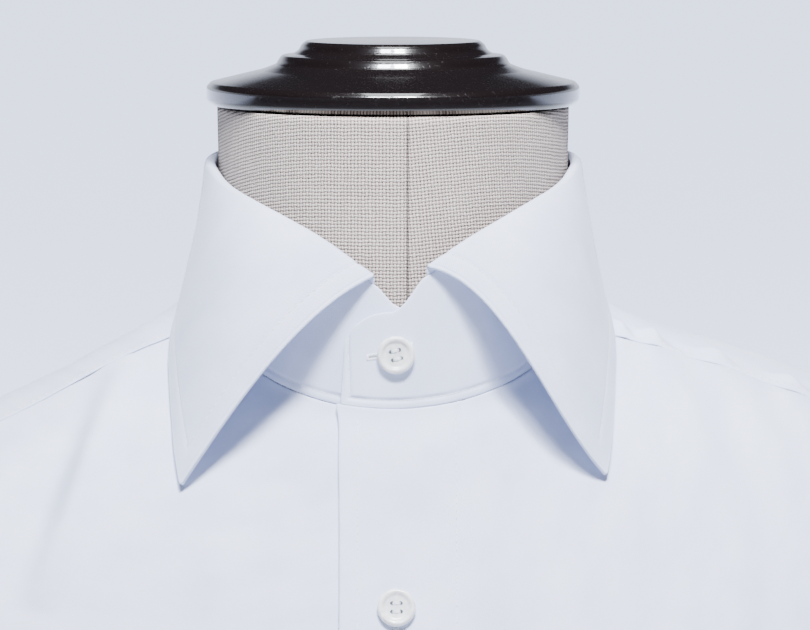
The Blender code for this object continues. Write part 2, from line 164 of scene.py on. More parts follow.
def node(tree, kind, settings=(), **links):
    """Add a shader node: settings are its properties, or its inputs by name or number, and links its sources."""
    made = tree.nodes.new("ShaderNode" + kind)
    for key, value in dict(settings).items():
        if isinstance(key, str) and key in made.bl_rna.properties:
            setattr(made, key, value)
        else:
            made.inputs[key].default_value = value
    for key, source in links.items():
        tree.links.new(made.inputs[int(key[2:]) if key.startswith("in") else key], source)
    return made


def finish_of(name):
    """A new material, its node tree and its Principled shader."""
    made = bpy.data.materials.new(name)
    made.use_nodes = True
    return made, made.node_tree, made.node_tree.nodes["Principled BSDF"]


def math(tree, operation, first, second=None):
    """The output of a Math node on two sources or numbers."""
    made = tree.nodes.new("ShaderNodeMath")
    made.operation = operation
    for socket, source in zip(made.inputs, (first, second)):
        if isinstance(source, (int, float)):
            socket.default_value = source
        elif source is not None:
            tree.links.new(socket, source)
    return made.outputs[0]


# Natural linen, plain-woven from slubby yarn at about 10 threads to the centimetre: each thread is a matt round
# rib that goes over one and under one, with a small hole between each four, and its thickness and tone vary.
# Its colour darkens from each rib's crown down its flanks and is darkest in the holes: painted shade in the weave.
THREAD = 0.00102
linen, tree, shader = finish_of("natural_plain_woven_linen")
shader.inputs["Roughness"].default_value = 0.92
shader.inputs["Specular IOR Level"].default_value = 0.25
shader.inputs["Sheen Weight"].default_value = 0.12
flat_place = node(tree, "UVMap", {"uv_map": "flat"}).outputs[0]
threads = node(tree, "VectorMath", {"operation": "SCALE", 3: 1 / THREAD}, in0=flat_place).outputs[0]
wander = node(tree, "TexNoise", {"Scale": 0.35, "Detail": 2.0}, Vector=threads).outputs["Color"]
wander = node(tree, "VectorMath", {"operation": "SUBTRACT", 1: (0.5, 0.5, 0.5)}, in0=wander).outputs[0]
wander = node(tree, "VectorMath", {"operation": "SCALE", 3: 0.55}, in0=wander).outputs[0]
threads = node(tree, "VectorMath", {"operation": "ADD"}, in0=threads, in1=wander).outputs[0]
split = node(tree, "SeparateXYZ", (), Vector=threads).outputs
sines = [math(tree, "SINE", math(tree, "MULTIPLY", split[k], float(np.pi))) for k in (0, 1)]
ribs = [math(tree, "ABSOLUTE", wave) for wave in sines]
crossing = math(tree, "MULTIPLY", sines[0], sines[1])
tones = []
for stretch in ((0.9, 0.06, 1.0), (0.05, 0.9, 1.0)):
    along = node(tree, "VectorMath", {"operation": "MULTIPLY", 1: stretch}, in0=threads).outputs[0]
    tones.append(node(tree, "TexNoise", {"Scale": 1.0, "Detail": 3.0, "Roughness": 0.6}, Vector=along).outputs[0])
heights = []
for rib, rise, tone in ((ribs[0], 0.34, tones[0]), (ribs[1], -0.34, tones[1])):
    crown = math(tree, "MULTIPLY", math(tree, "POWER", rib, 0.8), 0.62)
    bent = math(tree, "ADD", crown, math(tree, "MULTIPLY", crossing, rise))
    slub = math(tree, "ADD", math(tree, "MULTIPLY", tone, 0.8), 0.62)
    heights.append(math(tree, "MULTIPLY", bent, slub))
weave = math(tree, "MAXIMUM", heights[0], heights[1])
# The weave's height sets the colour, from dark brown low down to cream on the crowns: painted shade in the hollows.
ramp = node(tree, "ValToRGB", (), Fac=weave)
ramp.color_ramp.elements[0].position, ramp.color_ramp.elements[0].color = 0.16, colour("43332F")
ramp.color_ramp.elements[1].position, ramp.color_ramp.elements[1].color = 0.95, colour("E2D6CC")
middle = ramp.color_ramp.elements.new(0.52)
middle.color = colour("AC9D95")
# Along the seam the linen's colour is scaled down to 0.4: painted shade in the seam's groove.
from_seam = node(tree, "SeparateXYZ", (), Vector=node(tree, "UVMap", {"uv_map": "seam"}).outputs[0]).outputs[0]
seam_shade = node(tree, "MapRange", {"From Min": 0.00012, "From Max": 0.00050, "To Min": 0.40, "To Max": 1.0},
                 Value=from_seam).outputs[0]
seam_shaded_colour = node(tree, "VectorMath", {"operation": "SCALE"}, in0=ramp.outputs[0])
tree.links.new(seam_shaded_colour.inputs[3], seam_shade)
tree.links.new(shader.inputs["Base Color"], seam_shaded_colour.outputs[0])
bump = node(tree, "Bump", {"Strength": 0.8, "Distance": 0.00045}, Height=weave)
tree.links.new(shader.inputs["Normal"], bump.outputs[0])

near_seam = np.radians(np.linspace(-5, 5, 41))
psi = np.unique(np.concatenate([
    np.linspace(0, 2 * np.pi, 241)[:-1],
    *[(seam + near_seam * (1.0 if seam < 1 else 0.5)) % (2 * np.pi) for seam in LINEN_SEAMS]]).round(6))
psi = np.append(psi, psi[0] + 2 * np.pi)
t = np.concatenate([np.linspace(-0.50, 0.0, 40), np.linspace(0, 2.0, 120)[1:]])
body = form(psi[None, :], t[:, None])
aside = np.min([np.abs((psi - seam + np.pi) % (2 * np.pi) - np.pi) for seam in LINEN_SEAMS], 0)
aside = aside[None, :] * np.linalg.norm(body[..., :2], axis=-1)
sunk = (ALLOWANCE_HEIGHT * (1 - ease(aside, ALLOWANCE * 0.8, ALLOWANCE))
        - (SEAM_DEPTH + ALLOWANCE_HEIGHT) * np.exp(-(aside / SEAM_HALF_WIDTH) ** 2))
body = over(psi[None, :], t[:, None], sunk)
body[-1, :, 2] = 0
# Drawn down hard at the sides, the weft hangs lower there than at the front and back.
body_flat = np.stack([run(body, 1), run(body, 0) - GRAIN_DROP * np.sin(psi) ** 4], -1)
seam_column = np.searchsorted(psi, LINEN_SEAMS[0])
past_back = psi > np.pi + 1e-5
body_flat[..., 0] -= body_flat[:, seam_column:seam_column + 1, 0] + past_back * body_flat[:, -1:, 0]
past = (psi > LINEN_SEAMS[0] - 1e-5) & ~past_back
turned_flat = body_flat @ np.array([[np.cos(BIAS), np.sin(BIAS)], [-np.sin(BIAS), np.cos(BIAS)]])
body_flat = np.where(past[None, :, None], turned_flat, body_flat)
lid = [body[:1] * (f, f, 1) for f in (0.0, 0.5, 0.97)]
board = [body[-1:] * (f, f, 1) for f in (0.995, 0.6, 0.0)]
body = np.concatenate([*lid, body, *board])
body_flat = np.concatenate([*[body_flat[:1]] * 3, body_flat, *[body_flat[-1:]] * 3])
aside = np.concatenate([*[aside[:1]] * 3, aside, *[aside[-1:]] * 3]).reshape(-1)
numbers = np.arange(body.shape[0] * body.shape[1]).reshape(body.shape[:2])
body_faces = quads(numbers)
dress_form = piece("dress_form_linen", body, body_faces, body_flat.reshape(-1, 2)[body_faces], linen)
dress_form.data.uv_layers.new(name="seam").data.foreach_set(
    "uv", np.stack([aside[body_faces]] * 2, -1).astype(np.float32).ravel())
merge(dress_form)
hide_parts("form_body")


# The neck cap: a disc of turned hardwood in three tiers, stained black and finished in gloss lacquer. It is
# screwed down on the top of the neck.
CAP_PROFILE = ((0.0, 0.0787), (0.0262, 0.0787), (0.0276, 0.0776), (0.0284, 0.0760), (0.0300, 0.0749),
               (0.0335, 0.0744), (0.0344, 0.0733), (0.0352, 0.0718), (0.0382, 0.0706), (0.0400, 0.0700),
               (0.0550, 0.0664), (0.0563, 0.0650), (0.0563, 0.0612), (0.0550, 0.0598), (0.0, 0.0598))
CAP_TURNS = 160

lacquer, tree, shader = finish_of("black_lacquered_turned_wood")
shader.inputs["Base Color"].default_value = colour("120D0E")
shader.inputs["Roughness"].default_value = 0.22
shader.inputs["IOR"].default_value = 1.5
shader.inputs["Coat Weight"].default_value = 1.0
shader.inputs["Coat Roughness"].default_value = 0.06
place_now = node(tree, "TexCoord").outputs["Object"]
ripple = node(tree, "TexNoise", {"Scale": 90.0, "Detail": 2.0}, Vector=place_now).outputs[0]
specks = node(tree, "TexNoise", {"Scale": 900.0, "Detail": 4.0}, Vector=place_now).outputs[0]
haze = node(tree, "MapRange", {"From Min": 0.60, "From Max": 0.80, "To Min": 0.20, "To Max": 0.55}, Value=specks)
tree.links.new(shader.inputs["Roughness"], haze.outputs[0])
bump = node(tree, "Bump", {"Strength": 0.10, "Distance": 0.0006}, Height=ripple)
tree.links.new(shader.inputs["Normal"], bump.outputs[0])


def rounded(profile, cut, steps=5):
    """A profile whose inner corners are arcs: each is a quadratic curve between points cut short of the corner."""
    profile = np.array(profile, float)
    before, corner, after = profile[:-2], profile[1:-1], profile[2:]
    reach = np.minimum(cut, 0.45 * np.minimum(np.linalg.norm(before - corner, axis=1),
                                              np.linalg.norm(after - corner, axis=1)))[:, None]
    start, end = corner + unit(before - corner) * reach, corner + unit(after - corner) * reach
    f = np.linspace(0, 1, steps)[None, :, None]
    arcs = (1 - f) ** 2 * start[:, None] + 2 * f * (1 - f) * corner[:, None] + f ** 2 * end[:, None]
    return np.concatenate([profile[:1], arcs.reshape(-1, 2), profile[-1:]])


def lathe(profile, turns):
    """A grid of points turned round Z from (radius, height) pairs; its columns go once round."""
    angle = np.linspace(0, 2 * np.pi, turns + 1)
    radius, height = profile[:, :1], profile[:, 1:]
    return np.stack([radius * np.sin(angle), -radius * np.cos(angle), height + 0 * angle], -1)


cap = lathe(rounded(CAP_PROFILE, 0.0006), CAP_TURNS) + (0, 0, NECK_POINT)
cap_flat = np.stack([run(cap, 1), run(cap, 0)], -1)
numbers = np.arange(cap.shape[0] * cap.shape[1]).reshape(cap.shape[:2])
cap_faces = quads(numbers)
neck_cap = piece("neck_cap", cap, cap_faces, cap_flat.reshape(-1, 2)[cap_faces], lacquer)
merge(neck_cap)
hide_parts("form_cap")


# The bib's two fronts: one ply each of fine white cotton twill, pressed, laid from the middle over the chest to
# the shoulder seams. The wearer's left one laps over the right, and its folded edge forms the front band.
PANEL_CLOTH = 0.0009
SEAM_GAP, YOKE_SEAM_GAP = 0.0003, 0.0001
CENTRE_X = 0.001
OVER_EDGE_X, UNDER_EDGE_X = CENTRE_X - 0.016, CENTRE_X + 0.016
BAND_STITCH_X = 0.0179
LAYER, LAYER_FLAT_X, LAYER_GONE_X = 0.00225, 0.021, 0.046
NECKLINE_LIFT, PANEL_LIFT, LIFT_EASED_BY = 0.0050, 0.0028, 0.30
FULL_SHOULDER, FULL_DEPTH_Y = 0.0034, 0.048
FULL_FROM_X, FULL_BY_X, FULL_UNTIL_X, FULL_GONE_X = 0.060, 0.118, 0.135, 0.172
FRONT_EDGE = table(
    "t psi_degrees",
    (0.00, 70.0), (0.30, 74.0), (0.60, 75.0), (0.88, 75.5), (0.97, 67.5), (1.10, 60.5), (1.30, 57.0),
    (1.56, 57.0))
FRONT_ROWS = np.concatenate([np.linspace(0, 0.30, 46), np.linspace(0.30, 1.0, 66)[1:], np.linspace(1.0, 1.56, 60)[1:]])
YOKE_SEAM_END_T = 0.88
FRONT_PUCKERS, RIGHT_SEAM_STEP, LEFT_SEAM_STEP, SEAM_STEP_REACH = 0.30, 0.00045, 0.00005, 0.0030

# Soft folds along a line of the front view: x_top, z_top, x_low, z_low, height, half_width.
RIGHT_FRONT_FOLDS = ((-0.075, -0.016, -0.101, -0.080, 0.0044, 0.0050),
                     (-0.085, -0.020, -0.111, -0.080, -0.0014, 0.0042),
                     (-0.104, -0.034, -0.136, -0.090, 0.0026, 0.0060),
                     (-0.047, -0.030, -0.050, -0.200, 0.0020, 0.0070),
                     (-0.030, -0.045, -0.031, -0.170, 0.0014, 0.0055),
                     (-0.105, -0.110, -0.085, -0.230, 0.0022, 0.0090))
LEFT_FRONT_FOLDS = ((0.078, -0.010, 0.104, -0.085, 0.0016, 0.0060),
                    (0.096, -0.016, 0.120, -0.070, 0.0018, 0.0060),
                    (0.116, -0.024, 0.136, -0.100, 0.0016, 0.0070),
                    (0.050, -0.050, 0.056, -0.210, 0.0018, 0.0080),
                    (0.105, -0.115, 0.088, -0.230, 0.0020, 0.0090))
# Puckers across the wearer's left shoulder seam: x, height, half_width, and how far they reach from the seam.
LEFT_PUCKERS = ((0.0690, 0.0022, 0.0022), (0.0780, 0.0034, 0.0028), (0.0865, -0.0008, 0.0026),
                (0.0960, 0.0032, 0.0044), (0.1075, 0.0000, 0.0030), (0.1180, 0.0032, 0.0044))
PUCKER_REACH, PUCKER_PEAK = 0.0030, 0.0044

shirting, tree, shader = finish_of("white_pressed_cotton_twill")
shader.inputs["Base Color"].default_value = colour("F3F4F8")
shader.inputs["Roughness"].default_value = 0.80
shader.inputs["Specular IOR Level"].default_value = 0.30
shader.inputs["Sheen Weight"].default_value = 0.20
shader.inputs["Sheen Roughness"].default_value = 0.45
# The real twill has about 50 threads to the centimetre; its lines are drawn 0.55 mm apart so that they show.
TWILL = 0.00055
flat_place = node(tree, "UVMap", {"uv_map": "flat"}).outputs[0]
threads = node(tree, "VectorMath", {"operation": "SCALE", 3: 1 / TWILL}, in0=flat_place).outputs[0]
split = node(tree, "SeparateXYZ", (), Vector=threads).outputs
slant = math(tree, "ADD", split[0], math(tree, "MULTIPLY", split[1], 0.8))
lines = math(tree, "SINE", math(tree, "MULTIPLY", slant, float(2 * np.pi)))
fuzz = node(tree, "TexNoise", {"Scale": 0.9, "Detail": 3.0}, Vector=threads).outputs[0]
twill = math(tree, "ADD", math(tree, "MULTIPLY", lines, 0.35), fuzz)
cloudy = node(tree, "TexNoise", {"Scale": 55.0, "Detail": 3.0}, Vector=flat_place).outputs[0]
ramp = node(tree, "ValToRGB", (), Fac=cloudy)
ramp.color_ramp.elements[0].position, ramp.color_ramp.elements[0].color = 0.30, colour("D2D9F3")
ramp.color_ramp.elements[1].position, ramp.color_ramp.elements[1].color = 0.70, colour("E0E6FC")
tree.links.new(shader.inputs["Base Color"], ramp.outputs[0])
soft = node(tree, "Bump", {"Strength": 0.10, "Distance": 0.0015}, Height=cloudy)
bump = node(tree, "Bump", {"Strength": 0.6, "Distance": 0.00006}, Height=twill, Normal=soft.outputs[0])
tree.links.new(shader.inputs["Normal"], bump.outputs[0])


def layer(x):
    """Extra lift of the wearer's left side where it laps over the right one."""
    return LAYER * (1 - ease(x, LAYER_FLAT_X, LAYER_GONE_X))


def panel_lift(psi, t):
    """Height of a panel's outer face over the form: most at the neckline and on the fuller shoulder."""
    x, y = np.moveaxis(form(psi, t), -1, 0)[:2]
    full = ease(x, FULL_FROM_X, FULL_BY_X) * (1 - ease(x, FULL_UNTIL_X, FULL_GONE_X))
    neck = (NECKLINE_LIFT - PANEL_LIFT) * (1 - ease(t, 0, LIFT_EASED_BY))
    return PANEL_LIFT + neck + FULL_SHOULDER * full * np.exp(-(y / FULL_DEPTH_Y) ** 2)


def fold_lift(points, folds):
    """Soft ridges along lines of the front view, which wander a little and rise and fade over their length."""
    lift = np.zeros(points.shape[:-1])
    for x_top, z_top, x_low, z_low, height, half_width in folds:
        path = np.array([x_low - x_top, z_low - z_top])
        flat = points[..., [0, 2]] - (x_top, NECK_POINT + z_top)
        along = np.clip(flat @ path / (path @ path), 0, 1)
        aside = (flat[..., 0] * path[1] - flat[..., 1] * path[0]) / np.linalg.norm(path)
        aside = aside + 0.15 * half_width * np.sin(7 * along + 40 * x_top)
        lift += height * np.exp(-(aside / half_width) ** 2) * np.sin(np.pi * along) ** 0.8
    return lift


def crumple(points, size, seed):
    """A slight unevenness of pressed cloth: eight sine waves of 12 to 45 mm in seeded directions."""
    rng = np.random.default_rng(seed)
    waves = unit(rng.normal(size=(8, 3))) * (2 * np.pi / rng.uniform(0.012, 0.045, 8))[:, None]
    return size * np.sin(points @ waves.T + rng.uniform(0, 6.28, 8)).sum(-1) / 8


def front_psi(t):
    """The outer edge of a front at t."""
    return np.radians(smooth(t, FRONT_EDGE, "psi_degrees"))


def puckers(points, psi, t):
    """Soft bumps along the wearer's left shoulder seam, which fade away from it and past its outer end."""
    from_seam = np.abs(psi - front_psi(t)) * np.linalg.norm(points[..., :2], axis=-1)
    x = points[..., 0]
    slanted = x + 0.45 * from_seam
    bumps = sum(height * np.exp(-((slanted - at) / width) ** 2) for at, height, width in LEFT_PUCKERS)
    near = np.exp(-((from_seam - PUCKER_PEAK) / PUCKER_REACH) ** 2)
    return bumps * near * (1 - ease(t, 0.75, YOKE_SEAM_END_T))


def normals(points):
    """Unit normals of a grid: down its columns crossed with along its rows."""
    return unit(np.cross(np.gradient(points, axis=0), np.gradient(points, axis=1)))


def border(grid):
    """The values of a grid round its edge: along the top row, down, back along the lowest row and up."""
    return np.concatenate([grid[0, :-1], grid[:-1, -1], grid[-1, :0:-1], grid[:0:-1, 0]])


def cloth(name, points, thickness, plies=1):
    """A closed wall of cloth: the outer grid, the same grid moved in, and a rim that is half-round or two-ply."""
    rows, columns = points.shape[:2]
    count = rows * columns
    normal = normals(points)
    flat = np.stack([run(points, 1), run(points, 0)], -1)
    number = np.arange(count).reshape(rows, columns)
    edge, edge_normal, edge_flat, edge_number = (border(grid) for grid in (points, normal, flat, number))
    out = unit(np.cross(edge_normal, np.roll(edge, -1, 0) - np.roll(edge, 1, 0)))
    rim = 3 if plies == 1 else 7
    turn = np.pi * np.arange(1, rim + 1)[:, None, None] / (rim + 1)
    bulge = np.sin(turn) - (0.0 if plies == 1 else 0.65) * np.exp(-((turn - np.pi / 2) / 0.35) ** 2)
    rims = edge + thickness / 2 * (edge_normal * (np.cos(turn) - 1) + out * bulge)
    inner = points - normal * thickness
    every = np.concatenate([points.reshape(-1, 3), rims.reshape(-1, 3), inner.reshape(-1, 3)])
    every_flat = np.concatenate([flat.reshape(-1, 2), np.tile(edge_flat, (rim, 1)), flat.reshape(-1, 2)])
    rings = count + np.arange(rims.shape[0] * rims.shape[1]).reshape(rims.shape[:2])
    inner_start = count + rings.size
    rings = np.concatenate([edge_number[None], rings, edge_number[None] + inner_start])
    above, below = rings[:-1], rings[1:]
    sides = np.stack([above, np.roll(above, -1, 1), np.roll(below, -1, 1), below], -1).reshape(-1, 4)
    faces = np.concatenate([quads(number), sides, quads(number)[:, ::-1] + inner_start])
    return piece(name, every, faces, every_flat[faces], shirting)


def line_at(points, field, level, first=0, last=None):
    """Down each column of a grid, where a field first grows past a level: the points and their outward normals."""
    found = []
    normal = normals(points)
    for column in range(points.shape[1])[first:last]:
        past = np.flatnonzero((field[:-1, column] < level) & (field[1:, column] >= level))
        if len(past):
            row = past[0]
            f = (level - field[row, column]) / (field[row + 1, column] - field[row, column])
            pair = np.stack([points[row:row + 2, column], normal[row:row + 2, column]])
            found.append(pair[:, 0] * (1 - f) + pair[:, 1] * f)
    return np.array(found)


# Sewing thread: mercerised cotton, white, two-ply. A lockstitch shows as short threads that dip at both ends.
STITCH, STITCH_SHOWS, THREAD_RADIUS = 0.0023, 0.72, 0.00014
thread_finish, tree, shader = finish_of("white_sewing_thread")
shader.inputs["Roughness"].default_value = 0.55
shader.inputs["Specular IOR Level"].default_value = 0.45
shader.inputs["Sheen Weight"].default_value = 0.25
twist = node(tree, "UVMap", {"uv_map": "flat"}).outputs[0]
# The colour runs in diagonal bands, darker between the plies: painted shade in the twist's grooves.
ply_shade_bands = node(tree, "TexWave", {"Scale": 1.6, "bands_direction": "DIAGONAL"}, Vector=twist).outputs[0]
ramp = node(tree, "ValToRGB", (), Fac=ply_shade_bands)
ramp.color_ramp.elements[0].color, ramp.color_ramp.elements[1].color = colour("E2E4EC"), colour("F7F8FB")
tree.links.new(shader.inputs["Base Color"], ramp.outputs[0])


def threads_of(name, starts, ends, normal, radius, arch, dip):
    """One piece of many short threads, each an arched tube from a start to an end that dips into the cloth."""
    f = np.linspace(0, 1, 6)[None, :, None]
    rise = (arch * np.sin(np.pi * f) - dip * (1 - np.sin(np.pi * f)) ** 2) * radius
    path = starts[:, None] * (1 - f) + ends[:, None] * f + normal[:, None] * rise
    ahead = unit(np.gradient(path, axis=1))
    aside = unit(np.cross(ahead, normal[:, None]))
    up = np.cross(aside, ahead)
    turn = np.linspace(0, 2 * np.pi, 7)[:-1][None, None, :, None]
    thick = radius * (0.55 + 0.45 * np.sin(np.pi * f))[..., None]
    rings = path[:, :, None] + thick * (aside[:, :, None] * np.cos(turn) + up[:, :, None] * np.sin(turn))
    number = np.arange(rings.shape[0] * 36).reshape(-1, 6, 6)
    sides = np.stack([number[:, :-1], np.roll(number, -1, 2)[:, :-1], np.roll(number, -1, 2)[:, 1:], number[:, 1:]], -1)
    caps = np.concatenate([number[:, 0, [[0, 3, 2, 1], [0, 5, 4, 3]]], number[:, -1, [[0, 1, 2, 3], [0, 3, 4, 5]]]], 1)
    faces = np.concatenate([sides.reshape(-1, 4), caps.reshape(-1, 4)])
    place = np.stack(np.broadcast_arrays(np.arange(6)[None, None, :], np.arange(6)[None, :, None] * 1.5,
                                         number)[:2], -1).reshape(-1, 2)
    return piece(name, rings, faces, place[faces], thread_finish)


def stitches(name, *lines, pitch=STITCH):
    """One piece of the stitches along lines on the cloth; each line holds points and their normals."""
    starts, ends, ups = [], [], []
    for line in lines:
        far = run(line[:, 0][None], 1)[0]
        for at in np.arange(0, far[-1] - pitch, pitch):
            one, two, up = (np.array([np.interp(x, far, line[:, k, axis]) for axis in range(3)])
                            for x, k in ((at, 0), (at + pitch * STITCH_SHOWS, 0), (at + pitch / 2, 1)))
            starts.append(one)
            ends.append(two)
            ups.append(up)
    return threads_of(name, np.array(starts), np.array(ends), unit(np.array(ups)), THREAD_RADIUS, 0.55, 1.2)


def edge_runs(points):
    """For a grid, the distance of each point from its top, foot, first and last edges along the grid's lines."""
    down, across = run(points, 0), run(points, 1)
    return down, down[-1:] - down, across, across[:, -1:] - across


def front_face(psi, t, side, folds, fine=1.0):
    """Outer face of a front at psi and t; the wearer's left, side 1, laps over the right, side -1."""
    under = form(psi, t)
    lift = panel_lift(psi, t) + fold_lift(under, folds)
    if side > 0:
        lift = lift + layer(under[..., 0]) + FRONT_PUCKERS * puckers(under, psi, t)
        lift = lift - 0.00022 * fine * np.exp(-((under[..., 0] - BAND_STITCH_X) / 0.0006) ** 2)
    return over(psi, t, lift)


HEM_IN, BAND_EDGE_IN = 0.0050, 0.0050
SEAM_END_ROW = np.searchsorted(FRONT_ROWS, YOKE_SEAM_END_T)
for name, side, folds, seed in (("front_left", 1, LEFT_FRONT_FOLDS, 3), ("front_right", -1, RIGHT_FRONT_FOLDS, 5)):
    t = FRONT_ROWS[:, None]
    half_width = smooth(t, FORM_RINGS, "half_width")
    inner = OVER_EDGE_X + (PANEL_CLOTH + SEAM_GAP) / 2 if side > 0 else UNDER_EDGE_X - (PANEL_CLOTH + SEAM_GAP) / 2
    inner = np.arcsin(inner / half_width)
    outer = side * (front_psi(t) - (PANEL_CLOTH + YOKE_SEAM_GAP) / 2 / half_width)
    psi = inner + (outer - inner) * np.linspace(0, 1, 130)
    psi = psi if side > 0 else psi[:, ::-1]
    points = front_face(psi, t, side, folds)
    points = points + normals(points) * crumple(points, 0.00022, seed)[..., None]
    cloth(name + "_panel", points, PANEL_CLOTH)
    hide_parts(name)
    top_run, foot_run, first_run, last_run = edge_runs(points)
    hem_line = line_at(points[::-1], foot_run[::-1], HEM_IN)
    lines = [hem_line]
    if side > 0:
        from_edge = points[..., 0] - OVER_EDGE_X
        lines.append(line_at(points.swapaxes(0, 1), from_edge.T, BAND_STITCH_X - OVER_EDGE_X, 6))
        lines.append(line_at(points.swapaxes(0, 1), from_edge.T, BAND_EDGE_IN, 6))
    armhole = line_at(points.swapaxes(0, 1)[::-side], (last_run if side > 0 else first_run).T[::-side], HEM_IN)
    lines.append(armhole[armhole[:, 0, 2] < points[SEAM_END_ROW, -1 if side > 0 else 0, 2]])
    stitches(name + "_stitches", *lines)


# The yoke: one ply of the same cotton from seam to seam over both shoulders and round the back of the neck. Its
# edges are turned in and sewn down on the fronts and the back.
YOKE_STITCH_IN = 0.0016
YOKE_EDGE = table(
    "psi_degrees t",
    (74.0, 0.88), (90.0, 0.87), (108.0, 0.91), (125.0, 1.00), (137.0, 0.83), (150.0, 0.70), (165.0, 0.62),
    (180.0, 0.595))
BACK_CORNER_PSI, BACK_HEM_PSI, BACK_HEM_T, BACK_SEAM_T = 125.0, 130.0, 1.50, 0.0036

down = np.linspace(0, 1, 110)[:, None]
t = down * YOKE_SEAM_END_T
start = front_psi(t) + (PANEL_CLOTH + YOKE_SEAM_GAP) / 2 / smooth(t, FORM_RINGS, "half_width")
psi = start + (2 * np.pi - 2 * start) * np.linspace(0, 1, 300)
edge_psi = np.degrees(np.arccos(np.cos(psi[-1:])))
t = down * (smooth(edge_psi, YOKE_EDGE, "t") - 0.003)
under = form(psi, t)
from_seam = np.abs(np.arccos(np.cos(psi)) - front_psi(t)) * np.linalg.norm(under[..., :2], axis=-1)
step = np.where(under[..., 0] < 0, RIGHT_SEAM_STEP, LEFT_SEAM_STEP) * np.exp(-(from_seam / SEAM_STEP_REACH) ** 2)
lift = panel_lift(psi, t) + puckers(under, psi, t) + step
points = over(psi, t, lift)
points = points + normals(points) * crumple(points, 0.00020, 11)[..., None]
yoke = cloth("yoke_panel", points, PANEL_CLOTH)
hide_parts("yoke")
top_run, foot_run, first_run, last_run = edge_runs(points)
seam_lines = [line_at(points.swapaxes(0, 1), first_run.T, YOKE_STITCH_IN),
              line_at(points.swapaxes(0, 1)[::-1], last_run.T[::-1], YOKE_STITCH_IN),
              line_at(points[::-1], foot_run[::-1], YOKE_STITCH_IN)]
stitches("yoke_panel_stitches", *seam_lines)


# The back of the bib: one ply of the same cotton under the yoke's back seam, with soft folds that fall from the
# shoulder blades and a narrow hem.
BACK_FOLDS = ((-0.060, -0.085, -0.070, -0.215, 0.0022, 0.0090),
              (-0.020, -0.082, -0.022, -0.200, 0.0018, 0.0075),
              (0.030, -0.082, 0.036, -0.205, 0.0018, 0.0080),
              (0.075, -0.085, 0.090, -0.220, 0.0024, 0.0090))

down = np.linspace(0, 1, 110)[:, None]
edge = np.radians(BACK_CORNER_PSI + (BACK_HEM_PSI - BACK_CORNER_PSI) * down)
psi = np.pi + (np.pi - edge) * np.linspace(-1, 1, 170)
t_seam = smooth(np.degrees(np.arccos(np.cos(psi[:1]))), YOKE_EDGE, "t") + BACK_SEAM_T + 0.003
t = t_seam + (BACK_HEM_T - t_seam) * down
points = over(psi, t, panel_lift(psi, t) + fold_lift(form(psi, t), BACK_FOLDS))
points = points + normals(points) * crumple(points, 0.00022, 13)[..., None]
back = cloth("back_panel", points, PANEL_CLOTH)
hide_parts("back")
top_run, foot_run, first_run, last_run = edge_runs(points)
stitches("back_panel_stitches", line_at(points[::-1], foot_run[::-1], HEM_IN),
         line_at(points.swapaxes(0, 1), first_run.T, HEM_IN), line_at(points.swapaxes(0, 1)[::-1], last_run.T[::-1], HEM_IN))


# The collar stand: two plies of the cotton with an interlining between, cut as a curved band, sewn to the
# neckline with a line of stitches just above the seam. Its ends lap at the front and their top corners are round.
CREST = dict(half_width=0.0553, front=0.0632, back=0.0612)
CREST_HEIGHT = table(
    "psi_degrees z",
    (0, 0.0120), (6, 0.0154), (10, 0.0180), (14, 0.0206), (19, 0.0237), (24, 0.0264), (30, 0.0290),
    (37, 0.0316), (46, 0.0343), (58, 0.0372), (67, 0.0395), (75, 0.0418), (90, 0.0434), (135, 0.0443),
    (180, 0.0448))
STAND_CLOTH, STAND_GAP = 0.0014, 0.0004
ROLL_RADIUS, LIP = 0.0017, 0.0016
STAND_BELOW_CREST = ROLL_RADIUS + LIP + SEAM_GAP
STAND_INSET = ROLL_RADIUS - 0.0015
STAND_TIP_Z, STAND_TIP_RUN, STAND_CORNER = 0.0040, 0.0110, 0.0135
LEAF_START_X = dict(left=0.0098, right=-0.0057)


def crest_height(psi):
    """Height of the fold's crest, alike on both sides."""
    return NECK_POINT + smooth(np.degrees(np.arccos(np.cos(psi))), CREST_HEIGHT, "z")


def crest_ring(psi, inset, laps):
    """Plan of the fold's crest, moved inwards by inset, with the lap's extra where laps is true."""
    c, s = np.cos(psi), np.sin(psi)
    x = CREST["half_width"] * s
    y = np.where(c > 0, -CREST["front"] * c, -CREST["back"] * c)
    out = np.stack([s, -c], -1)
    return np.stack([x, y], -1) + out * (np.where(laps, layer(x), 0) - inset)[..., None], out


def stand_face(psi, down):
    """Outer face of the stand at psi, from its top, down 0, to its seam, down 1."""
    laps = psi < np.pi / 2
    x = (smooth(0, FORM_RINGS, "half_width") + NECKLINE_LIFT) * np.sin(psi)
    plan, _ = crest_ring(psi, STAND_INSET, laps)
    under_leaf = crest_height(psi) - STAND_BELOW_CREST
    past_leaf = np.where(laps, LEAF_START_X["left"] - x, x - LEAF_START_X["right"])
    tip = under_leaf + (NECK_POINT + STAND_TIP_Z - under_leaf) * ease(past_leaf, 0, STAND_TIP_RUN)
    from_end = np.where(laps, x - OVER_EDGE_X, UNDER_EDGE_X - x)
    corner = np.clip(STAND_CORNER - from_end, 0, STAND_CORNER)
    tip = tip - STAND_CORNER + np.sqrt(STAND_CORNER ** 2 - corner ** 2)
    top_z = np.where((np.cos(psi) > 0) & (past_leaf > 0), tip, under_leaf)
    top = np.concatenate([plan, top_z[..., None]], -1)
    lift = NECKLINE_LIFT + np.where(laps, layer(x), 0)
    seam = over(psi, 0.0, lift)
    base = seam + unit(seam - over(psi, 0.01, lift)) * STAND_GAP
    return top + (base - top) * np.asarray(down)[..., None]


